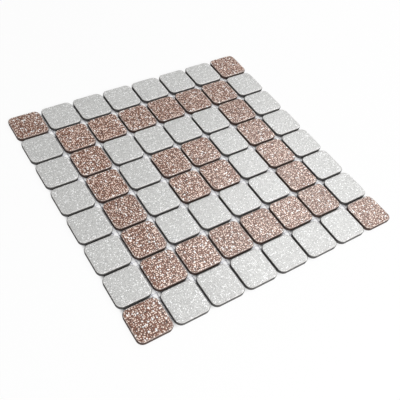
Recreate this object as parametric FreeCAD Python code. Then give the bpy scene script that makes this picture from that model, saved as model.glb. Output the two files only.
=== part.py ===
import FreeCAD, Part
import math
import os

# A sheet of mosaic: square porcelain chips of two colours in square rings,
# glued by their backs to a net of glass-fibre yarn.
# Millimetres. The sheet lies face up, X and Y run along its sides, Z is up,
# and the origin is under the middle of the sheet, on what it lies on.

# The chips
TILES_PER_SIDE = 8
TILE_SIDE = 37.7          # across a chip at its widest, just under the rounded edge
TILE_THICKNESS = 4.5
JOINT = 2.2               # between two neighbours at their widest
CORNER_RADIUS = 6.8       # seen from above
FACE_EDGE_RADIUS = 1.1    # where the face rolls over into the wall
WALL_LEAN = 0.3           # how far each wall leans in towards the back

# How finely the curves are drawn. Each is a row of flats, few enough for 64 chips.
CORNER_FLATS = 5
EDGE_FLATS = 2

# The net
YARN_WIDTH = 1.0
YARN_THICKNESS = 0.25
YARN_SPACING = 5.0
NET_MARGIN = 6.5          # from the outline of the sheet in to the cut ends of the yarns

# Worked out from the sizes above
PITCH = TILE_SIDE + JOINT
SHEET_SIDE = TILES_PER_SIDE * PITCH - JOINT
BACK_LEVEL = 2 * YARN_THICKNESS
FACE_LEVEL = BACK_LEVEL + TILE_THICKNESS
NET_SIDE = SHEET_SIDE - 2 * NET_MARGIN


def outline(inset, height):
    """The corners of a chip's rounded square, drawn in by an inset, at one height."""
    radius = CORNER_RADIUS - inset
    arc_centre = TILE_SIDE / 2 - CORNER_RADIUS
    corners = []
    for quarter in range(4):
        turn = FreeCAD.Rotation(FreeCAD.Vector(0, 0, 1), 90 * quarter)
        for flat in range(CORNER_FLATS + 1):
            angle = math.radians(90 * flat / CORNER_FLATS)
            x = arc_centre + radius * math.cos(angle)
            y = arc_centre + radius * math.sin(angle)
            corners.append(turn.multVec(FreeCAD.Vector(x, y, height)))
    return corners


def chip_outlines():
    """A chip's outline at its back, at its widest, and then over the edge up to the face."""
    outlines = [outline(WALL_LEAN, BACK_LEVEL)]
    for flat in range(EDGE_FLATS + 1):
        angle = math.radians(90 * flat / EDGE_FLATS)
        inset = FACE_EDGE_RADIUS * (1 - math.cos(angle))
        drop = FACE_EDGE_RADIUS * (1 - math.sin(angle))
        outlines.append(outline(inset, FACE_LEVEL - drop))
    return outlines


def flat_face(corners):
    return Part.Face(Part.makePolygon(corners + corners[:1]))


def make_chip():
    """One pressed chip over the origin: a back, bands of flats up the walls, and a face."""
    outlines = chip_outlines()
    faces = [flat_face(outlines[0]), flat_face(outlines[-1])]
    for lower, upper in zip(outlines, outlines[1:]):
        for index in range(len(lower)):
            band = [lower[index - 1], lower[index], upper[index], upper[index - 1]]
            faces.append(flat_face(band))
    return Part.makeSolid(Part.makeShell(faces))


def ring_of(column, row):
    """How many chips lie between this one and the nearest side of the sheet."""
    last = TILES_PER_SIDE - 1
    return min(column, row, last - column, last - row)


def colour_of(column, row):
    """Every second ring is brown, and so are the four corners. The rest is grey."""
    ends = (0, TILES_PER_SIDE - 1)
    at_corner = column in ends and row in ends
    return "brown" if at_corner or ring_of(column, row) % 2 == 1 else "grey"


def chip_centre(column, row):
    """Columns run along +X, and rows run from the side at +Y towards -Y."""
    middle = (TILES_PER_SIDE - 1) / 2
    return FreeCAD.Vector((column - middle) * PITCH, (middle - row) * PITCH, 0)


def chips_of(chip, row, colour):
    """All the chips of one colour in one row, each a solid of its own."""
    solids = []
    for column in range(TILES_PER_SIDE):
        if colour_of(column, row) == colour:
            solids.append(chip.translated(chip_centre(column, row)))
    return solids


def yarn_places():
    """Where the yarns cross the middle of the sheet, evenly to both sides of it.

    An even count leaves the middle joint clear between two yarns.
    """
    count = 2 * int(NET_SIDE / YARN_SPACING / 2)
    return [(index - (count - 1) / 2) * YARN_SPACING for index in range(count)]


def warp_yarns():
    """The upper layer of the net, along X, glued to the backs of the chips."""
    yarns = []
    for place in yarn_places():
        corner = FreeCAD.Vector(-NET_SIDE / 2, place - YARN_WIDTH / 2, YARN_THICKNESS)
        yarns.append(Part.makeBox(NET_SIDE, YARN_WIDTH, YARN_THICKNESS, corner))
    return yarns


def weft_yarns():
    """The lower layer, along Y, under the warp and glued to it at each crossing."""
    yarns = []
    for place in yarn_places():
        corner = FreeCAD.Vector(place - YARN_WIDTH / 2, -NET_SIDE / 2, 0)
        yarns.append(Part.makeBox(YARN_WIDTH, NET_SIDE, YARN_THICKNESS, corner))
    return yarns


def save(name, solids):
    """Write solids that don't touch each other as one named sub-part."""
    shape = Part.makeCompound(solids)
    shape.exportStep("parts/" + name + ".step")
    print(name, len(solids), "solids,", round(shape.Volume / 1000, 2), "cm3")


os.makedirs("parts", exist_ok=True)
the_chip = make_chip()
for row_index in range(TILES_PER_SIDE):
    for colour_name in ("brown", "grey"):
        node_name = colour_name + "_tiles_row_" + str(row_index + 1)
        save(node_name, chips_of(the_chip, row_index, colour_name))
save("net_warp_yarns", warp_yarns())
save("net_weft_yarns", weft_yarns())
print("sheet", round(SHEET_SIDE, 2), "mm square,", round(FACE_LEVEL, 2), "mm thick")
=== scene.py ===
# %% [markdown]
# A sheet of porcelain mosaic.
#
# Sixty-four small square chips lie face up on a net of glass-fibre yarn, in
# square rings of brown and light grey. Everything that a tiler would touch
# is made here at its real size: the chips with their rolled edges and
# ribbed backs, the woven net, and the speckle of the fired clay.
#
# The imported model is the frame. It says where each chip and each layer of
# yarn lies, and nothing here moves them. Blender counts in metres.

# %% Load the frame
import math

import bmesh
import bpy
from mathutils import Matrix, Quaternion, Vector, noise


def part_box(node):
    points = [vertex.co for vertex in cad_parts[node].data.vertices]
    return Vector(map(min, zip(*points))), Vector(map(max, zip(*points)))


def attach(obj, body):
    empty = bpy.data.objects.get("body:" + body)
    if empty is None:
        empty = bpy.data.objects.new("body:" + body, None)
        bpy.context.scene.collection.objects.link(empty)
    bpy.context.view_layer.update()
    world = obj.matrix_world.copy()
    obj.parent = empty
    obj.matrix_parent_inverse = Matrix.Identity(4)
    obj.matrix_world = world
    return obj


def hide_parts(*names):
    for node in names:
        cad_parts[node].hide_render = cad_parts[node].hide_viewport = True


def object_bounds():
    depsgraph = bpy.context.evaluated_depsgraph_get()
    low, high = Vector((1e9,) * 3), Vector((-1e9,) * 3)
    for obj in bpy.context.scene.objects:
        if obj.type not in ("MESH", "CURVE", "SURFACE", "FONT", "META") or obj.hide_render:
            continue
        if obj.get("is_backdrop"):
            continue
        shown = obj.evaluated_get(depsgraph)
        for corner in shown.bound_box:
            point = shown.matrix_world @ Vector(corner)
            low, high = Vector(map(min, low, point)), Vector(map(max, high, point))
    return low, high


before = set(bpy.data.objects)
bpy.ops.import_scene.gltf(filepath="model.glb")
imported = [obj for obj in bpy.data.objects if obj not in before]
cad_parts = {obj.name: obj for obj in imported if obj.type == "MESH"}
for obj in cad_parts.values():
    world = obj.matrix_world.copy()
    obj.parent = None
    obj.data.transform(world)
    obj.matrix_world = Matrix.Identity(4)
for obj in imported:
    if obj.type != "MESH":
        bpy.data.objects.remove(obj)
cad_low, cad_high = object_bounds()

print("frame holds", len(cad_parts), "nodes")
print("box", [round(side, 4) for side in cad_high - cad_low], "m")

# %% [markdown]
# The sheet's own measures.
#
# A chip's size and the pitch of the grid could be typed in again, but then
# they might drift from the model. They are read from the frame instead. The
# node of a row is as deep as one chip, and from the side of the sheet and
# the side of a chip follows the pitch.

# %% Measures of the sheet
MM = 0.001
CHIPS_PER_SIDE = 8

row_low, row_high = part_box("grey_tiles_row_1")
sheet_side = cad_high.x - cad_low.x
chip_side = row_high.y - row_low.y
pitch = (sheet_side - chip_side) / (CHIPS_PER_SIDE - 1)
face_level = row_high.z
back_level = row_low.z
print("chip", round(chip_side / MM, 2), "mm, pitch", round(pitch / MM, 2), "mm")
print("back and face at", round(back_level / MM, 2), "and", round(face_level / MM, 2), "mm")

# %% [markdown]
# The camera.
#
# The photograph looks down on the sheet from one corner with a slightly
# long lens, and the camera is tipped a little about its own axis. Lens,
# place and tip come from the way the grid of joints runs together in the
# picture. The small shift stands for the sheet lying right of the middle
# of the uncropped picture.

# %% Camera
CAMERA_PLACE = Vector((-288.3, -340.5, 470.7)) * MM
CAMERA_TARGET = Vector((-31.1, -37.6, 5.0)) * MM
CAMERA_TIP = math.radians(10.97)
# Blender takes the lens and the sensor in millimetres
CAMERA_LENS = 51.6
CAMERA_SENSOR = 36.0
CAMERA_SHIFT = 0.025
NEAREST_SEEN = 10 * MM

camera_data = bpy.data.cameras.new("camera")
camera_data.lens = CAMERA_LENS
camera_data.sensor_width = CAMERA_SENSOR
camera_data.shift_x = CAMERA_SHIFT
camera_data.clip_start = NEAREST_SEEN
camera = bpy.data.objects.new("camera", camera_data)
bpy.context.scene.collection.objects.link(camera)
camera.location = CAMERA_PLACE
camera.rotation_mode = "QUATERNION"
looking = (CAMERA_TARGET - CAMERA_PLACE).to_track_quat("-Z", "Y")
camera.rotation_quaternion = looking @ Quaternion((0, 0, 1), CAMERA_TIP)
bpy.context.scene.camera = camera
bpy.context.scene.view_settings.view_transform = "Standard"
print("camera", [round(value / MM) for value in CAMERA_PLACE], "mm, lens", CAMERA_LENS)

# %% [markdown]
# Colours and nodes.
#
# Colours are written as the hex values one would pick from a picture, and
# one function turns them into the linear light values that shaders use.
# A second function adds a node, sets it up and links its inputs, so a
# material reads as a list of what happens to the surface.


# %% Colour and node helpers
def linear(hex_colour):
    """A picture's hex colour as linear red, green, blue and alpha, by the sRGB curve."""
    values = []
    for start in (0, 2, 4):
        part = int(hex_colour[start:start + 2], 16) / 255
        values.append(part / 12.92 if part <= 0.04045 else ((part + 0.055) / 1.055) ** 2.4)
    return (*values, 1.0)


def add(tree, kind, settings=None, **inputs):
    """A new node.

    An input goes by its name, or by its number as in _0. It is given a
    value, or a socket of another node to link.
    """
    made = tree.nodes.new("ShaderNode" + kind)
    for name, value in (settings or {}).items():
        setattr(made, name, value)
    for name, value in inputs.items():
        key = int(name[1:]) if name[1:].isdigit() else name.replace("_", " ")
        if isinstance(value, bpy.types.NodeSocket):
            tree.links.new(value, made.inputs[key])
        else:
            made.inputs[key].default_value = value
    return made


def new_material(name):
    """An empty material and its node tree."""
    material = bpy.data.materials.new(name)
    material.use_nodes = True
    material.node_tree.nodes.clear()
    return material, material.node_tree


WHITE = (1, 1, 1, 1)
print("middle grey in linear light", round(linear("808080")[0], 3))

# %% [markdown]
# What the camera sees as white.
#
# The photograph is a studio shot cut out on white. A plain pale floor
# carries the sheet's soft shadow. To the camera it shows a share of pure
# white besides the light that falls on it, so it reads as white paper
# without any extra light on the sheet. More lamps would whiten it too, but
# they would bleach the chips. The sky behind it needs the same, so one
# function tells the rays that see apart from the light that falls on things.


# %% Rays that see
def seen_or_mirrored(tree):
    """1 for a ray from the camera, a mirror or a glass, and 0 for light that falls on things."""
    path = add(tree, "LightPath")
    mirrored = add(tree, "Math", {"operation": "MAXIMUM"},
                   _0=path.outputs["Is Glossy Ray"], _1=path.outputs["Is Transmission Ray"])
    seen = add(tree, "Math", {"operation": "MAXIMUM"},
               _0=path.outputs["Is Camera Ray"], _1=mirrored.outputs[0])
    return seen.outputs[0]


print("seen_or_mirrored is ready for the floor and the sky")

# %% [markdown]
# The white paper.
#
# Under the sheet the paper lies in shade. The photograph shows the narrow
# joints almost black and a pale patch wherever four corners meet, so the
# white fades out under the sheet's side and comes back, weaker, round the
# meeting points, as a painted pool of light for the light that falls in
# through the wider opening there. Those points repeat with the pitch: a
# place is wrapped into one pitch of the grid, and its length is then the
# distance from the nearest.

# %% Floor paper
PAPER_COLOUR = "F4F4F4"
# share of white beyond the sheet, and how far in from its side it starts and is full
FLOOR_WHITE = 0.92
WHITE_STARTS = 6 * MM
WHITE_FULL = 1 * MM
# share of painted light where four corners meet, and how far out it is full and ends
PATCH_PAINTED_LIGHT = 0.66
PATCH_FULL = 3 * MM
PATCH_ENDS = 6 * MM

floor_material, tree = new_material("white_paper_floor")
place = add(tree, "TexCoord").outputs["Object"]
from_middle = add(tree, "VectorMath", {"operation": "ABSOLUTE"}, _0=place)
sides = add(tree, "SeparateXYZ", Vector=from_middle.outputs[0])
furthest = add(tree, "Math", {"operation": "MAXIMUM"}, _0=sides.outputs["X"], _1=sides.outputs["Y"])
beyond = add(tree, "MapRange", Value=furthest.outputs[0], From_Min=sheet_side / 2 - WHITE_STARTS,
             From_Max=sheet_side / 2 - WHITE_FULL, To_Max=FLOOR_WHITE)

half = pitch / 2
wrapped = add(tree, "VectorMath", {"operation": "WRAP"},
              _0=place, _1=(half, half, half), _2=(-half, -half, -half))
from_meeting = add(tree, "VectorMath", {"operation": "LENGTH"}, _0=wrapped.outputs[0])
# painted light: a pool of white round each meeting point of four corners
painted_light_patch = add(tree, "MapRange", Value=from_meeting.outputs["Value"],
            From_Min=PATCH_FULL, From_Max=PATCH_ENDS, To_Min=PATCH_PAINTED_LIGHT, To_Max=0.0)

shown = add(tree, "Math", {"operation": "MAXIMUM"}, _0=beyond.outputs[0], _1=painted_light_patch.outputs[0])
share = add(tree, "Math", {"operation": "MULTIPLY"}, _0=seen_or_mirrored(tree), _1=shown.outputs[0])
paper = add(tree, "BsdfDiffuse", Color=linear(PAPER_COLOUR))
white = add(tree, "Emission", Color=WHITE, Strength=1.0)
mixed = add(tree, "MixShader", _0=share.outputs[0], _1=paper.outputs[0], _2=white.outputs[0])
add(tree, "OutputMaterial", Surface=mixed.outputs[0])
print("white at the sheet's side", FLOOR_WHITE, "and where corners meet", PATCH_PAINTED_LIGHT)

# %% [markdown]
# Floor and sky.
#
# The floor is one large flat square at the level that the sheet lies on.
# It isn't part of the sheet, so it is marked as stage. The sky is a weak
# even fill, as from the white walls of a studio, and plain white wherever
# the camera or a shiny skin sees it.

# %% Floor and sky
FLOOR_HALF = 3.0
SKY_LEVEL = 0.20

floor_mesh = bpy.data.meshes.new("floor")
shape = bmesh.new()
bmesh.ops.create_grid(shape, x_segments=1, y_segments=1, size=FLOOR_HALF)
bmesh.ops.translate(shape, verts=shape.verts, vec=(0, 0, cad_low.z))
shape.to_mesh(floor_mesh)
shape.free()
floor_mesh.materials.append(floor_material)
floor = bpy.data.objects.new("floor", floor_mesh)
bpy.context.scene.collection.objects.link(floor)
floor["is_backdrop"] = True

world = bpy.data.worlds.new("studio")
bpy.context.scene.world = world
world.use_nodes = True
tree = world.node_tree
tree.nodes.clear()
fill = add(tree, "Background", Color=WHITE, Strength=SKY_LEVEL)
backdrop = add(tree, "Background", Color=WHITE, Strength=1.0)
mixed = add(tree, "MixShader", _0=seen_or_mirrored(tree), _1=fill.outputs[0], _2=backdrop.outputs[0])
add(tree, "OutputWorld", Surface=mixed.outputs[0])
print("floor", 2 * FLOOR_HALF, "m wide, sky at", SKY_LEVEL)

# %% [markdown]
# The lamps.
#
# Two softboxes light the sheet. Towards the right the chips of the
# photograph grow paler, the brown ones even more than the grey ones, so a
# part of that is a sheen on their skin and not more light on their colour.
# The first softbox stands on the far right, about where the camera would
# see it mirrored in the chips of the right corner. The second one stands
# low over the side of the sheet at the picture's lower right and gives the
# rolled edges there their pale line. Further round to the right it would
# glare off every face for someone who looks low from behind.

# %% Lamps
# name, azimuth and height in degrees, distance and side in metres, watts
SOFTBOXES = (
    ("right_softbox", 22, 52, 1.4, 0.8, 8.9),
    ("front_softbox", -90, 34, 1.4, 0.6, 15.5),
)

for name, azimuth, height, distance, side, watts in SOFTBOXES:
    lamp_data = bpy.data.lights.new(name, "AREA")
    lamp_data.shape = "SQUARE"
    lamp_data.size = side
    lamp_data.energy = watts
    lamp = bpy.data.objects.new(name, lamp_data)
    bpy.context.scene.collection.objects.link(lamp)
    turn = Quaternion((0, 0, 1), math.radians(azimuth)) @ Quaternion((0, 1, 0), -math.radians(height))
    towards_lamp = turn @ Vector((1, 0, 0))
    lamp.location = towards_lamp * distance
    lamp.rotation_mode = "QUATERNION"
    lamp.rotation_quaternion = (-towards_lamp).to_track_quat("-Z", "Y")
    print(name, "at", [round(value, 2) for value in lamp.location], "m")

# %% [markdown]
# The grains of the clay.
#
# The face of a chip is speckled porcelain. Coloured clay is spray-dried
# into grains of about a millimetre, the grains are mixed, pressed in a die
# and fired, so each grain stays visible as a speck.
#
# A picture of real clay would do, but the grains are easy to grow. A
# Voronoi texture cuts the plane of the sheet into cells of grain size. A
# random value per cell chooses those that carry a different clay, and the
# distance from the cell's middle gives the grain its edge. The cells are
# flat rather than solid, because a face cuts most solid grains far from
# their middle and the specks get too small.

# %% One kind of grain
# how evenly the grains lie, from 0 for a grid to 1 for pure chance
GRAIN_RANDOMNESS = 0.8
# the least and greatest size of a grain and the width of its edge, beside its usual size
GRAIN_LEAST = 0.55
GRAIN_GREATEST = 1.4
GRAIN_EDGE = 0.15


def specks(tree, place, below, grain, share, radius, colour):
    """Lays one kind of grain over the colour below it.

    grain is the width of a cell in metres, share the part of the cells
    that hold a grain, and radius its size as a part of the cell.
    """
    cells = add(tree, "TexVoronoi", {"feature": "F1", "voronoi_dimensions": "2D"},
                Vector=place, Scale=1 / grain, Randomness=GRAIN_RANDOMNESS)
    chance = add(tree, "SeparateColor", Color=cells.outputs["Color"])
    picked = add(tree, "Math", {"operation": "LESS_THAN"}, _0=chance.outputs[0], _1=share)
    size = add(tree, "MapRange", Value=chance.outputs[1],
               To_Min=radius * GRAIN_LEAST, To_Max=radius * GRAIN_GREATEST)
    inside = add(tree, "Math", {"operation": "SUBTRACT"},
                 _0=size.outputs[0], _1=cells.outputs["Distance"])
    edge = add(tree, "MapRange", Value=inside.outputs[0], From_Max=GRAIN_EDGE * radius)
    cover = add(tree, "Math", {"operation": "MULTIPLY"}, _0=picked.outputs[0], _1=edge.outputs[0])
    laid = add(tree, "Mix", {"data_type": "RGBA"}, _0=cover.outputs[0], _6=below, _7=colour)
    return laid.outputs[2]


print("grains from", GRAIN_LEAST, "to", GRAIN_GREATEST, "of their usual size")

# %% [markdown]
# The mixed and fired clay.
#
# Under the grains lies a ground that drifts between two near tones, as
# clay does that isn't stirred for ever. The kinds of grain are laid over it
# one by one. A noise bends the cells first, which turns round grains into
# angular ones. Each chip came out of the kiln a little lighter or darker
# than the next: its place is rounded down to a whole number of pitches, so
# all of one chip gets the same random value.

# %% Clay of a chip
BEND_SIZE = 0.8 * MM
BEND_REACH = 0.75 * MM
BEND_DETAIL = 2.0
MOTTLE_SIZE = 6 * MM
MOTTLE_DETAIL = 5.0
MOTTLE_ROUGHNESS = 0.65
# values of the noise where the first ground ends and where only the second is left
MOTTLE_LOW = 0.35
MOTTLE_HIGH = 0.65


def grained_clay(tree, place, grounds, grains):
    """The colour of the mixed clay: two grounds and all the grains."""
    bend = add(tree, "TexNoise", Vector=place, Scale=1 / BEND_SIZE, Detail=BEND_DETAIL)
    bent = add(tree, "VectorMath", {"operation": "MULTIPLY_ADD"},
               _0=bend.outputs["Color"], _1=(BEND_REACH, BEND_REACH, BEND_REACH), _2=place)
    mottle = add(tree, "TexNoise", Vector=place, Scale=1 / MOTTLE_SIZE,
                 Detail=MOTTLE_DETAIL, Roughness=MOTTLE_ROUGHNESS)
    spread = add(tree, "MapRange", Value=mottle.outputs["Fac"],
                 From_Min=MOTTLE_LOW, From_Max=MOTTLE_HIGH)
    first, second = [linear(ground) for ground in grounds]
    mixed = add(tree, "Mix", {"data_type": "RGBA"}, _0=spread.outputs[0], _6=first, _7=second)
    laid = mixed.outputs[2]
    for grain, share, radius, tint in grains:
        laid = specks(tree, bent.outputs[0], laid, grain * MM, share, radius, linear(tint))
    return laid


def fired_tone(tree, place, clay, shade_spread):
    """The clay's colour, a little lighter or darker from chip to chip."""
    chip = add(tree, "VectorMath", {"operation": "SNAP"}, _0=place, _1=(pitch, pitch, 1.0))
    fate = add(tree, "TexWhiteNoise", {"noise_dimensions": "3D"}, Vector=chip.outputs[0])
    tone = add(tree, "MapRange", Value=fate.outputs["Value"],
               To_Min=1 - shade_spread, To_Max=1 + shade_spread)
    fired = add(tree, "VectorMath", {"operation": "SCALE"}, _0=clay, Scale=tone.outputs[0])
    return fired.outputs[0]


print("ground drifts over", round(MOTTLE_SIZE / MM), "mm")

# %% [markdown]
# Silky skin.
#
# The skin of the face is dense and silky, with the fine orange peel of the
# press. The bare clay below it is plainly rough. A share tells the two
# apart: 0 on the skin and 1 on bare clay.

# %% Skin of the face
PEEL_SIZE = 1.6 * MM
PEEL_DEPTH = 0.06 * MM
PEEL_DETAIL = 3.0
PEEL_BUMP = 0.35
# roughness where the peel is low and where it is high, by these values of its noise
SKIN_SMOOTH = 0.32
SKIN_ROUGH = 0.38
PEEL_LOW = 0.3
PEEL_HIGH = 0.7
BARE_ROUGHNESS = 0.85


def silky_skin(tree, place, bare):
    """The roughness of a place and the way that its surface faces."""
    peel = add(tree, "TexNoise", Vector=place, Scale=1 / PEEL_SIZE, Detail=PEEL_DETAIL)
    bump = add(tree, "Bump", Strength=PEEL_BUMP, Distance=PEEL_DEPTH, Height=peel.outputs["Fac"])
    silk = add(tree, "MapRange", Value=peel.outputs["Fac"],
               From_Min=PEEL_LOW, From_Max=PEEL_HIGH, To_Min=SKIN_SMOOTH, To_Max=SKIN_ROUGH)
    roughness = add(tree, "MapRange", Value=bare, To_Min=silk.outputs[0], To_Max=BARE_ROUGHNESS)
    return roughness.outputs[0], bump.outputs[0]


print("skin roughness", SKIN_SMOOTH, "to", SKIN_ROUGH, "and bare clay", BARE_ROUGHNESS)

# %% [markdown]
# Rim and bare walls, with painted highlight and painted shade.
#
# The skin is painted a little paler where it rolls over the edge, partly as
# rubbed wear and partly as a painted highlight. Below that the walls and the
# back are bare and rough, and their colour is painted dark as shade, which is
# why the joints of the photograph look almost black. The height of a place
# tells skin, rim and wall apart, so nothing has to be painted by hand and all
# 64 chips share two materials.

# %% Porcelain
# how far below the face the skin gets paler from wear and painted highlight,
# is palest and starts to end, and has ended
WEAR_AND_HIGHLIGHT_TOP = 0.07 * MM
SKIN_TOP = 0.26 * MM
SKIN_END = 0.56 * MM
RIM_WEAR_AND_HIGHLIGHT = 0.3
WORN_AND_HIGHLIGHT_COLOUR = "F4F0EC"
PORCELAIN_IOR = 1.54


def porcelain(name, grounds, wall_shade_colour, grains, shade_spread):
    """Pressed and fired clay with a silky skin, a rim paler from wear and a painted highlight, and
    bare walls painted dark as shade.
    """
    material, tree = new_material(name)
    place = add(tree, "TexCoord").outputs["Object"]
    clay = grained_clay(tree, place, grounds, grains)
    fired = fired_tone(tree, place, clay, shade_spread)

    height = add(tree, "SeparateXYZ", Vector=place)
    # painted highlight and wear: the rolled edge is mixed towards a pale colour
    rim = add(tree, "MapRange", Value=height.outputs["Z"],
              From_Min=face_level - WEAR_AND_HIGHLIGHT_TOP, From_Max=face_level - SKIN_TOP, To_Max=RIM_WEAR_AND_HIGHLIGHT)
    worn_and_highlit = add(tree, "Mix", {"data_type": "RGBA"},
               _0=rim.outputs[0], _6=fired, _7=linear(WORN_AND_HIGHLIGHT_COLOUR))
    # painted shade: below the skin the colour turns dark for the shade on walls and back
    bare = add(tree, "MapRange", Value=height.outputs["Z"],
               From_Min=face_level - SKIN_TOP, From_Max=face_level - SKIN_END)
    colour = add(tree, "Mix", {"data_type": "RGBA"},
                 _0=bare.outputs[0], _6=worn_and_highlit.outputs[2], _7=linear(wall_shade_colour))

    roughness, normal = silky_skin(tree, place, bare.outputs[0])
    shader = add(tree, "BsdfPrincipled", Base_Color=colour.outputs[2],
                 Roughness=roughness, IOR=PORCELAIN_IOR, Normal=normal)
    add(tree, "OutputMaterial", Surface=shader.outputs[0])
    return material


print("skin ends", round(SKIN_END / MM, 2), "mm below the face")

# %% [markdown]
# The two clays.
#
# The brown body is stained with iron oxide. It holds dark grains, many pale
# ones and a few pure white ones. The grey body is close to plain feldspar
# clay. Most of its grains are faint, and only the few white ones stand out.
# The tones of the brown chips differ more, because an iron stain reacts to
# every degree in the kiln.

# %% Brown and grey porcelain
# cell in mm, share of cells, radius in cells, colour
BROWN_GRAINS = (
    (1.4, 0.50, 0.36, "1C0D04"),
    (2.0, 0.88, 0.30, "FFE9DB"),
    (2.3, 0.14, 0.34, "FFFFFF"),
)
GREY_GRAINS = (
    (1.4, 0.50, 0.36, "A8A8A7"),
    (1.5, 0.85, 0.30, "E1E1DF"),
    (1.7, 0.25, 0.32, "FFFFFF"),
)
BROWN_GROUNDS = ("6C412C", "7A4C36")
GREY_GROUNDS = ("BFBFBD", "C3C3C1")
# painted shade: walls and backs get these dark colours for the shade in the joints
BROWN_WALL_SHADE = "3E2B23"
GREY_WALL_SHADE = "4A4847"
BROWN_SPREAD = 0.06
GREY_SPREAD = 0.02

brown_porcelain = porcelain("brown_speckled_porcelain", BROWN_GROUNDS, BROWN_WALL_SHADE,
                            BROWN_GRAINS, BROWN_SPREAD)
grey_porcelain = porcelain("grey_speckled_porcelain", GREY_GROUNDS, GREY_WALL_SHADE,
                           GREY_GRAINS, GREY_SPREAD)
print("porcelain of", len(brown_porcelain.node_tree.nodes), "nodes")

# %% [markdown]
# One chip.
#
# A chip is pressed in a steel die. Its face rolls over into the walls, the
# walls lean in a little so that it leaves the die, and its back carries
# shallow pockets between ribs, which the glue grips.
#
# A cube stretched to size gives the block. Its upright edges are bevelled
# first, then the rim of the face, because the second bevel has to follow
# the first round the corners. The block is a sixth of a millimetre lower
# than the chip, because the face still gets a cushion.

# %% Block of a chip
CORNER_RADIUS = 6.8 * MM
CORNER_SEGMENTS = 10
FACE_EDGE_RADIUS = 1.1 * MM
FACE_EDGE_SEGMENTS = 5
# width and rise of each ring of the cushion, from the rim inwards
CUSHION_RINGS = ((0.7 * MM, 0.09 * MM), (0.7 * MM, 0.05 * MM), (0.7 * MM, 0.02 * MM))
CUSHION_RISE = sum(rise for width, rise in CUSHION_RINGS)
NEAR = 0.01 * MM


def level_edges(shape, height):
    """The edges that run level at this height."""
    found = []
    for edge in shape.edges:
        if all(abs(corner.co.z - height) < NEAR for corner in edge.verts):
            found.append(edge)
    return found


chip = bmesh.new()
bmesh.ops.create_cube(chip, size=1.0)
thickness = face_level - CUSHION_RISE - back_level
bmesh.ops.scale(chip, verts=chip.verts, vec=(chip_side, chip_side, thickness))
bmesh.ops.translate(chip, verts=chip.verts, vec=(0, 0, back_level + thickness / 2))

upright = [edge for edge in chip.edges if abs(edge.verts[0].co.z - edge.verts[1].co.z) > thickness / 2]
bmesh.ops.bevel(chip, geom=upright, offset=CORNER_RADIUS, segments=CORNER_SEGMENTS,
                profile=0.5, affect="EDGES", material=-1)
rim_edges = level_edges(chip, face_level - CUSHION_RISE)
bmesh.ops.bevel(chip, geom=rim_edges, offset=FACE_EDGE_RADIUS, segments=FACE_EDGE_SEGMENTS,
                profile=0.5, affect="EDGES", material=-1)
print("block of", len(chip.faces), "faces,", round(thickness / MM, 2), "mm thick")

# %% [markdown]
# Cushion and lean.
#
# The face is very slightly cushioned: its last two millimetres fall away by
# that sixth of a millimetre. Three insets, each lifted less than the one
# before, draw it, and they keep the rounding's soft shading from spreading
# over the whole face. The lean of the walls comes from a back that is
# scaled down a little.

# %% Cushion and lean
WALL_LEAN = 0.3 * MM

face = max(chip.faces, key=lambda part: part.calc_center_median().z)
for width, rise in CUSHION_RINGS:
    bmesh.ops.inset_region(chip, faces=[face], thickness=width, depth=rise)

low = [corner for corner in chip.verts if corner.co.z < back_level + NEAR]
lean = 1 - 2 * WALL_LEAN / chip_side
bmesh.ops.scale(chip, verts=low, vec=(lean, lean, 1))
print("cushion of", len(CUSHION_RINGS), "rings, back scaled by", round(lean, 4))

# %% [markdown]
# The ribbed back.
#
# The back is a flat rim round a field of ribs. The field is cut into
# strips with a plane, as one would slice a loaf, and every second strip is
# inset with a little depth, which gives a pocket with sloping sides.

# %% Back of a chip
BACK_RIM = 3.0 * MM
BACK_STRIPS = 9
POCKET_DEPTH = 0.35 * MM
POCKET_SLOPE = 0.5 * MM
# corners nearer to the cutting plane than this count as lying on it
ON_THE_CUT = 1e-7

back = min(chip.faces, key=lambda part: part.calc_center_median().z)
bmesh.ops.inset_region(chip, faces=[back], thickness=BACK_RIM)
field_half = max(corner.co.x for corner in back.verts)
strip_width = 2 * field_half / BACK_STRIPS
strips = []
rest = back
for cut in range(1, BACK_STRIPS):
    made = bmesh.ops.bisect_plane(chip, geom=[rest, *rest.edges, *rest.verts], dist=ON_THE_CUT,
                                  plane_co=(cut * strip_width - field_half, 0, 0), plane_no=(1, 0, 0))
    halves = [part for part in made["geom"] if isinstance(part, bmesh.types.BMFace)]
    halves.sort(key=lambda part: part.calc_center_median().x)
    strips.append(halves[0])
    rest = halves[-1]
for pocket in strips[1::2]:
    bmesh.ops.inset_region(chip, faces=[pocket], thickness=POCKET_SLOPE, depth=-POCKET_DEPTH)

bmesh.ops.recalc_face_normals(chip, faces=chip.faces)
chip_mesh = bpy.data.meshes.new("chip")
chip.to_mesh(chip_mesh)
chip.free()
print("back has", BACK_STRIPS, "strips of", round(strip_width / MM, 2), "mm")
print("the finished chip has", len(chip_mesh.polygons), "faces")

# %% [markdown]
# Pieces in place of nodes.
#
# A finished mesh becomes a piece in the same way each time. It gets its
# material, rides on the sheet's one body and stands in for its node of the
# frame.


# %% A piece of the sheet
def add_piece(name, mesh, material, node):
    """Puts a finished mesh on the sheet in place of its node of the frame."""
    mesh.materials.append(material)
    piece = bpy.data.objects.new(name, mesh)
    bpy.context.scene.collection.objects.link(piece)
    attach(piece, "root")
    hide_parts(node)
    print(name, "stands for", node)


# %% [markdown]
# The chips on the sheet.
#
# Each node of the frame holds the chips of one colour in one row. The
# piece that stands for it is made of copies of the one chip, put down at
# the same places. Copies of a mesh are quicker than bevelling each chip.

# %% Chips by row and colour
# two faces that meet more sharply than this show a crisp edge
CREASE_ANGLE = math.radians(30)


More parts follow.
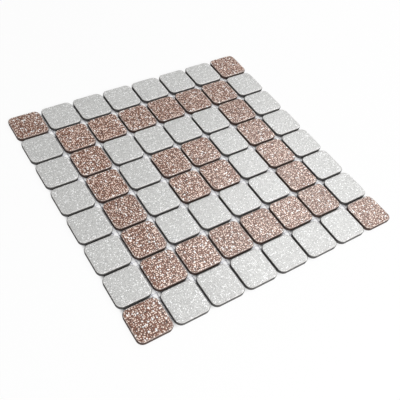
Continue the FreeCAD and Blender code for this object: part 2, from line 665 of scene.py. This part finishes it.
def is_brown(column, row):
    """Every second ring is brown, and so are the four corners."""
    last = CHIPS_PER_SIDE - 1
    ring = min(column, row, last - column, last - row)
    return ring % 2 == 1 or (column in (0, last) and row in (0, last))


def row_of_chips(name, row, brown):
    """A mesh of all the chips of one colour in one row."""
    shape = bmesh.new()
    middle = (CHIPS_PER_SIDE - 1) / 2
    for column in range(CHIPS_PER_SIDE):
        if is_brown(column, row) == brown:
            before = len(shape.verts)
            shape.from_mesh(chip_mesh)
            shape.verts.ensure_lookup_table()
            centre = ((column - middle) * pitch, (middle - row) * pitch, 0)
            bmesh.ops.translate(shape, verts=shape.verts[before:], vec=centre)
    mesh = bpy.data.meshes.new(name)
    shape.to_mesh(mesh)
    shape.free()
    mesh.shade_smooth()
    mesh.set_sharp_from_angle(angle=CREASE_ANGLE)
    return mesh


for row in range(CHIPS_PER_SIDE):
    for colour, material in (("brown", brown_porcelain), ("grey", grey_porcelain)):
        name = colour + "_chips_row_" + str(row + 1)
        mesh = row_of_chips(name, row, colour == "brown")
        node = colour + "_tiles_row_" + str(row + 1)
        add_piece(name, mesh, material, node)
print("all", CHIPS_PER_SIDE, "rows of chips laid")

# %% [markdown]
# The glass-fibre yarn.
#
# The net is woven from flat bundles of glass filaments and dipped in a
# white dispersion that stiffens it. The coat is satin, and the filaments
# show through it as fine lines along the yarn, so a noise is stretched
# along the yarn and lifts the surface a little. Real filaments are a
# hundredth of a millimetre thick. The lines are drawn ten times as coarse.

# %% Coated yarn
# width and length of a line in the coat
LINE_WIDTH = 0.12 * MM
LINE_LENGTH = 4.0 * MM
LINE_DEPTH = 0.03 * MM
LINE_BUMP = 0.5
# the coat lies thinner and thicker in patches of this size
COAT_PATCH = 7 * MM
COAT_DETAIL = 2.0
# sums of the two noises where the coat is thinnest and thickest, and its colours there;
# their bluish cast is painted shade, the cool tone of the shade under the chips
COAT_THIN = 0.7
COAT_THICK = 1.3
THIN_COAT_COOL_SHADE = "CFCFD9"
THICK_COAT_COOL_SHADE = "EBEBF2"
COAT_ROUGHNESS = 0.42
COAT_IOR = 1.5


def coated_yarn(name, along):
    """Glass filaments under a satin white coat, with lines that run along X or along Y."""
    material, tree = new_material(name)
    place = add(tree, "TexCoord").outputs["Object"]
    across, down = 1 / LINE_WIDTH, 1 / LINE_LENGTH
    stretch = (down, across, across) if along == "X" else (across, down, across)
    lines = add(tree, "VectorMath", {"operation": "MULTIPLY"}, _0=place, _1=stretch)
    filaments = add(tree, "TexNoise", Vector=lines.outputs[0], Scale=1.0, Detail=COAT_DETAIL)
    patches = add(tree, "TexNoise", Vector=place, Scale=1 / COAT_PATCH, Detail=COAT_DETAIL)
    height = add(tree, "Math", {"operation": "ADD"},
                 _0=filaments.outputs["Fac"], _1=patches.outputs["Fac"])
    tint = add(tree, "MapRange", Value=height.outputs[0], From_Min=COAT_THIN, From_Max=COAT_THICK)
    # painted shade: the coat's colours carry a bluish cast for cool shade
    coat = add(tree, "Mix", {"data_type": "RGBA"},
               _0=tint.outputs[0], _6=linear(THIN_COAT_COOL_SHADE), _7=linear(THICK_COAT_COOL_SHADE))
    bump = add(tree, "Bump", Strength=LINE_BUMP, Distance=LINE_DEPTH, Height=filaments.outputs["Fac"])
    shader = add(tree, "BsdfPrincipled", Base_Color=coat.outputs[2],
                 Roughness=COAT_ROUGHNESS, IOR=COAT_IOR, Normal=bump.outputs[0])
    add(tree, "OutputMaterial", Surface=shader.outputs[0])
    return material


warp_coat = coated_yarn("coated_glass_fibre_warp", "X")
weft_coat = coated_yarn("coated_glass_fibre_weft", "Y")
print("yarn coats:", warp_coat.name, weft_coat.name)

# %% [markdown]
# A yarn as a rod.
#
# An open net would slip if its yarns only went over and under each other.
# So the warp runs as pairs of thin strands that cross once between every
# two wefts and hold each weft in the loop, one strand above it and one
# below. The weft is a single flat yarn. Both start as a flat rod whose long
# edges are cut into many short lengths, so that it can be bent. The number
# of lengths is even, which puts a cut exactly on every crossing. The net has
# thousands of crossings, so a rod has only a few sides.

# %% Rods
YARN_SPACING = 5.0 * MM
YARN_WIDTH = 1.0 * MM
STRAND_WIDTH = 0.42 * MM
STRAND_THICKNESS = 0.17 * MM
STRAND_SIDES = 4
STRAND_STEP = YARN_SPACING / 4
WEFT_THICKNESS = 0.16 * MM
WEFT_SIDES = 6
WEFT_STEP = YARN_SPACING / 2

warp_low, warp_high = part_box("net_warp_yarns")
weft_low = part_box("net_weft_yarns")[0]
net_middle = (warp_high.z + weft_low.z) / 2
yarn_length = warp_high.x - warp_low.x
yarn_count = round((warp_high.y - warp_low.y - YARN_WIDTH) / YARN_SPACING) + 1


def flat_rod(name, width, thickness, sides, step):
    """A flat rod along X through the origin, with a cut across it every step."""
    lengths = 2 * int(yarn_length / step / 2)
    shape = bmesh.new()
    bmesh.ops.create_cone(shape, cap_ends=True, segments=sides, radius1=0.5, radius2=0.5, depth=1.0)
    lie_down = Quaternion((0, 1, 0), math.radians(90)).to_matrix()
    bmesh.ops.rotate(shape, verts=shape.verts, cent=(0, 0, 0), matrix=lie_down)
    bmesh.ops.scale(shape, verts=shape.verts, vec=(lengths * step, width, thickness))
    long_edges = [edge for edge in shape.edges if edge.calc_length() > yarn_length / 2]
    bmesh.ops.subdivide_edges(shape, edges=long_edges, cuts=lengths - 1, use_grid_fill=True)
    bmesh.ops.recalc_face_normals(shape, faces=shape.faces)
    mesh = bpy.data.meshes.new(name)
    shape.to_mesh(mesh)
    shape.free()
    return mesh


strand_rod = flat_rod("strand", STRAND_WIDTH, STRAND_THICKNESS, STRAND_SIDES, STRAND_STEP)
weft_rod = flat_rod("weft", YARN_WIDTH, WEFT_THICKNESS, WEFT_SIDES, WEFT_STEP)
print("a strand has", len(strand_rod.polygons), "faces and a weft", len(weft_rod.polygons))

# %% [markdown]
# How a yarn bends.
#
# A wave swings a strand from one side of its pair to the other, and a
# second wave of twice the beat lifts the one strand over every weft and
# takes it down under its partner in between. The partner does the opposite.
# Nothing woven runs dead straight, so each yarn also wanders by a few
# tenths of a millimetre.

# %% Bends of a yarn
SWING = (YARN_WIDTH - STRAND_WIDTH) / 2
LIFT = (STRAND_THICKNESS + WEFT_THICKNESS) / 2
WANDER = 0.3 * MM
WANDER_LENGTH = 45 * MM
# two neighbours are this far apart in the noise, so they don't stray alike
WANDER_APART = 7.3
net_half = (yarn_count - 1) / 2 * YARN_SPACING


def wander(x, number):
    """How far a yarn strays sideways at x. Each number has its own slow wave."""
    return WANDER * noise.noise(Vector((x / WANDER_LENGTH, number * WANDER_APART, 0)))


def twist(x, side):
    """How far a strand lies to the side of its pair and above the middle of the net."""
    beat = math.pi * (x + net_half) / YARN_SPACING
    return side * SWING * math.cos(beat), side * LIFT * math.cos(2 * beat)


print("a strand swings by", round(SWING / MM, 2), "and lifts by", round(LIFT / MM, 3), "mm")

# %% [markdown]
# The net.
#
# Each rod is copied to the places of the yarns and bent there. The weft is
# laid along X too and then turned by a quarter.


# %% Woven net
def lay_yarns(name, rod, side, first_number):
    """A mesh of all the yarns along X. Side is 1 or -1 for a strand and 0 for a straight yarn."""
    shape = bmesh.new()
    for index in range(yarn_count):
        before = len(shape.verts)
        shape.from_mesh(rod)
        shape.verts.ensure_lookup_table()
        place = index * YARN_SPACING - net_half
        for corner in shape.verts[before:]:
            sideways, up = twist(corner.co.x, side)
            sideways += wander(corner.co.x, first_number + index)
            corner.co += Vector((0, place + sideways, net_middle + up))
    mesh = bpy.data.meshes.new(name)
    shape.to_mesh(mesh)
    shape.free()
    mesh.shade_smooth()
    return mesh


for name, side in (("net_warp_strands_right", 1), ("net_warp_strands_left", -1)):
    mesh = lay_yarns(name, strand_rod, side, 0)
    add_piece(name, mesh, warp_coat, "net_warp_yarns")
weft_mesh = lay_yarns("net_wefts", weft_rod, 0, yarn_count)
weft_mesh.transform(Quaternion((0, 0, 1), math.radians(90)).to_matrix().to_4x4())
add_piece("net_wefts", weft_mesh, weft_coat, "net_weft_yarns")
print(yarn_count, "yarns each way, the outermost", round(2 * net_half / MM), "mm apart")

# %% [markdown]
# The last cell prints the box of what was made here. The frame's box was
# printed when it was loaded, so the two can be compared.

# %% Sizes and finish
low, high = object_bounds()
print("visual box", [round(side, 4) for side in high - low])
